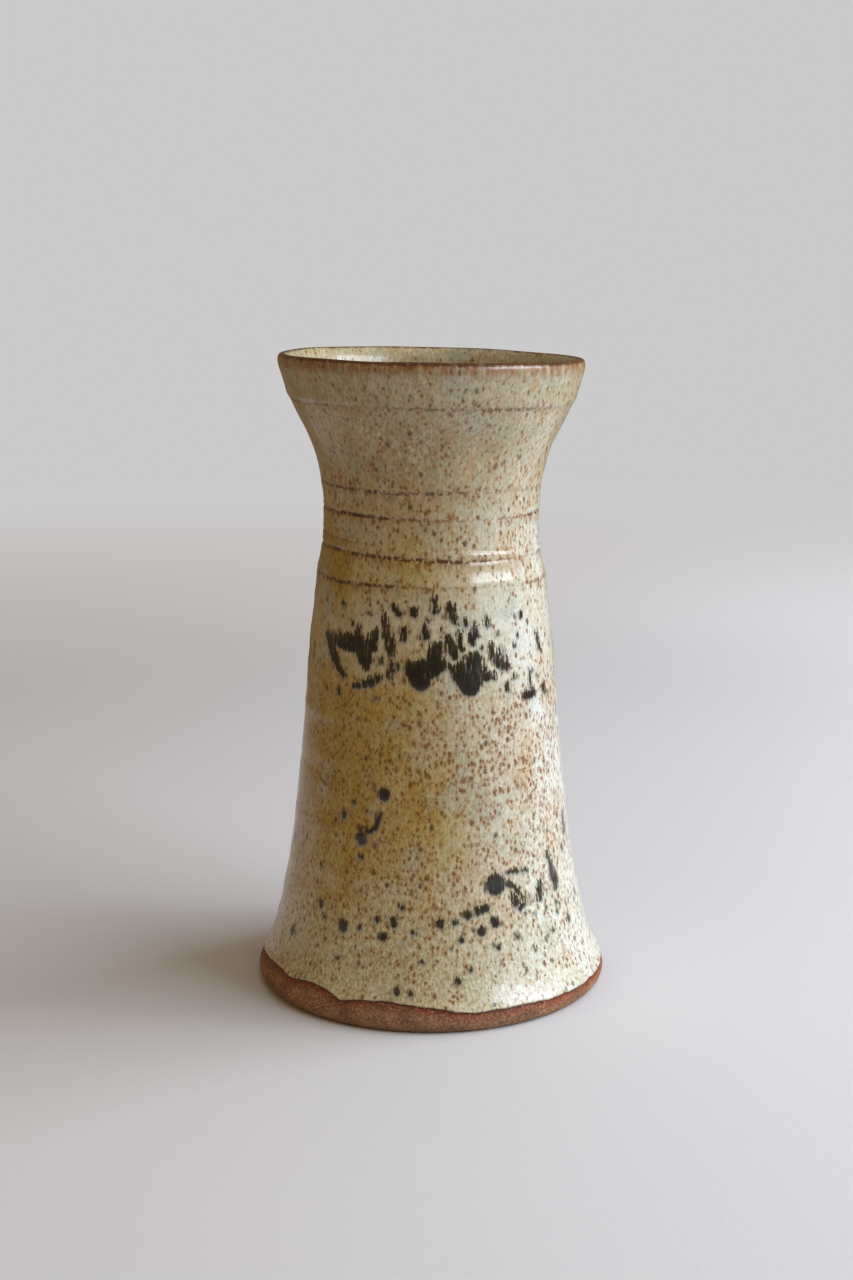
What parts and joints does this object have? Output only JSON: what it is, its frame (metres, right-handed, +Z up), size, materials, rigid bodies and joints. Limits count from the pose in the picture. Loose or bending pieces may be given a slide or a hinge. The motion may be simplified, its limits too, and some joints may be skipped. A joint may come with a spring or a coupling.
{
  "type": "stoneware pottery vase",
  "caption": "Wheel-thrown stoneware vase with a flared bare-clay foot, a waisted neck and a trumpet collar, glazed oatmeal with brushed iron-oxide marks; holds cut stems in water.",
  "frame": {"origin": "centre of the ring face that the vase rests on", "axes": "+Z up along the turning axis, -Y towards the painted front, +X to the right of that front"},
  "size_m": [0.118, 0.118, 0.211],
  "materials": {
    "bare_stoneware": "matte, groggy, toasted",
    "oatmeal_glaze": "satin, streaked, iron-speckled",
    "iron_break_glaze": "glossy, broken to iron brown",
    "liner_glaze": "glossy, lightly speckled",
    "iron_oxide": "glossy, olive-black brushwork"
  },
  "bodies": {
    "root": {"clay_body": "bare_stoneware", "outer_glaze": "oatmeal_glaze", "rim_glaze": "iron_break_glaze", "liner_glaze": "liner_glaze", "oxide_band": "iron_oxide", "oxide_splashes": "iron_oxide"}
  },
  "joints": []
}
